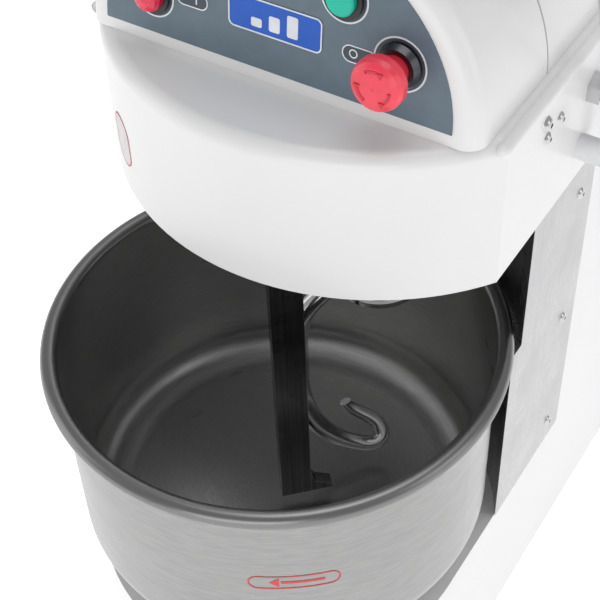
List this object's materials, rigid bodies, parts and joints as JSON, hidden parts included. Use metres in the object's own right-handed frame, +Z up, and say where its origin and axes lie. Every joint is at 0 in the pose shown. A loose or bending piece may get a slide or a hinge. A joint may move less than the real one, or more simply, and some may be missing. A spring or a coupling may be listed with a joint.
{
  "type": "spiral dough mixer",
  "caption": "Bench spiral dough mixer: round steel bowl under a fixed head with a kneading spiral, a breaker bar, a wire guard and a sloping control panel.",
  "frame": {"origin": "middle of the footprint on the floor, under the machine's bounding box", "axes": "+Z up, the bowl and controls face -Y, +X to the right of someone facing the machine"},
  "size_m": [0.4234, 0.7276, 1.0851],
  "materials": {
    "white_paint": "gloss",
    "stainless_bowl": "brushed",
    "stainless_sheet": "brushed",
    "polished_steel": "polished",
    "dark_steel": "satin",
    "chrome_wire": "polished",
    "rubber": "matte",
    "cast_iron": "rough",
    "machined_steel": "machined",
    "cast_aluminium": "cast",
    "black_plastic": "matte",
    "slate_panel": "satin",
    "red_plastic": "gloss",
    "green_plastic": "gloss",
    "red_lens": "gloss",
    "white_nylon": "satin"
  },
  "bodies": {
    "machine_frame": {"ball_bearings": "machined_steel", "bar_clamp": "cast_iron", "base_shell": "white_paint", "bottom_plate": "machined_steel", "bowl_chain": "machined_steel", "bowl_housing": "cast_iron", "breaker_bar": "dark_steel", "cable_gland": "black_plastic", "column_cover": "stainless_sheet", "column_shell": "white_paint", "control_box": "black_plastic", "control_overlay": "slate_panel", "cover_screws": "polished_steel", "down_bearing_high": "cast_iron", "down_bearing_low": "cast_iron", "down_chain": "machined_steel", "drive_belt": "rubber", "drive_shelf": "machined_steel", "feet": "rubber", "guard_bushes": "polished_steel", "guard_stops": "white_nylon", "head_bottom_plate": "white_paint", "head_shell": "white_paint", "head_side_bolts": "polished_steel", "hood_front": "white_paint", "hood_rear": "white_paint", "lamp_lens": "red_lens", "lay_bearing": "cast_iron", "motor_case": "cast_aluminium", "rear_cover": "white_paint", "shaft_seals": "rubber", "spiral_chain": "machined_steel", "spiral_housing": "cast_iron", "stop_collar": "chrome_wire", "switch_bezels": "black_plastic", "switch_blocks": "black_plastic"},
    "bowl": {"bowl_shell": "stainless_bowl", "bowl_spindle": "machined_steel", "bowl_sprocket": "machined_steel"},
    "spiral": {"spiral_shaft": "polished_steel", "spiral_hub": "polished_steel", "spiral_rod": "polished_steel", "spiral_sprocket": "machined_steel"},
    "layshaft": {"lay_shaft": "machined_steel", "lay_sprockets": "machined_steel", "lay_pulley": "cast_iron"},
    "down_shaft": {"down_shaft": "machined_steel", "down_sprocket_high": "machined_steel", "down_sprocket_low": "machined_steel"},
    "motor_rotor": {"motor_shaft": "machined_steel", "motor_pulley": "cast_iron"},
    "guard": {"guard_hoop_low": "chrome_wire", "guard_hoop_high": "chrome_wire", "guard_wires": "chrome_wire", "guard_arms": "chrome_wire", "guard_pins": "chrome_wire"},
    "start_button": {"start_cap": "green_plastic"},
    "stop_plunger": {"stop_plunger": "black_plastic"},
    "stop_head": {"stop_head": "red_plastic"}
  },
  "joints": [
    {"name": "bowl_spin", "type": "hinge", "parent": "machine_frame", "child": "bowl", "pos_m": [0, -0.16375, 0.24], "axis": [0, 0, 1], "continuous": true},
    {"name": "spiral_spin", "type": "hinge", "parent": "machine_frame", "child": "spiral", "pos_m": [0.051, -0.07905, 0.56], "axis": [0, 0, 1], "continuous": true},
    {"name": "layshaft_spin", "type": "hinge", "parent": "machine_frame", "child": "layshaft", "pos_m": [0.05, 0.08625, 0.66], "axis": [0, 0, 1], "continuous": true},
    {"name": "down_shaft_spin", "type": "hinge", "parent": "machine_frame", "child": "down_shaft", "pos_m": [-0.06, 0.13625, 0.36], "axis": [0, 0, 1], "continuous": true},
    {"name": "motor_spin", "type": "hinge", "parent": "machine_frame", "child": "motor_rotor", "pos_m": [-0.075, 0.25625, 0.65], "axis": [0, 0, 1], "continuous": true},
    {"name": "guard_swing", "type": "hinge", "parent": "machine_frame", "child": "guard", "pos_m": [0, 0.02825, 0.661], "axis": [1, 0, 0], "range_deg": [0, 100]},
    {"name": "start_press", "type": "slide", "parent": "machine_frame", "child": "start_button", "axis": [0, 0.9945, -0.1045], "range_m": [0, 0.0035], "stiffness_N_per_m": 400},
    {"name": "stop_press", "type": "slide", "parent": "machine_frame", "child": "stop_plunger", "axis": [0, 0.9945, -0.1045], "range_m": [0, 0.005]},
    {"name": "stop_twist", "type": "hinge", "parent": "stop_plunger", "child": "stop_head", "pos_m": [0.104, -0.14592, 0.76372], "axis": [0, -0.9945, 0.1045], "range_deg": [0, 40], "stiffness_Nm_per_rad": 0.06}
  ],
  "couplings": [
    {"joint": "down_shaft_spin", "follows": "bowl_spin", "ratio": 4.8},
    {"joint": "layshaft_spin", "follows": "bowl_spin", "ratio": 21.6},
    {"joint": "spiral_spin", "follows": "bowl_spin", "ratio": 10.8},
    {"joint": "motor_spin", "follows": "bowl_spin", "ratio": 68.571}
  ]
}
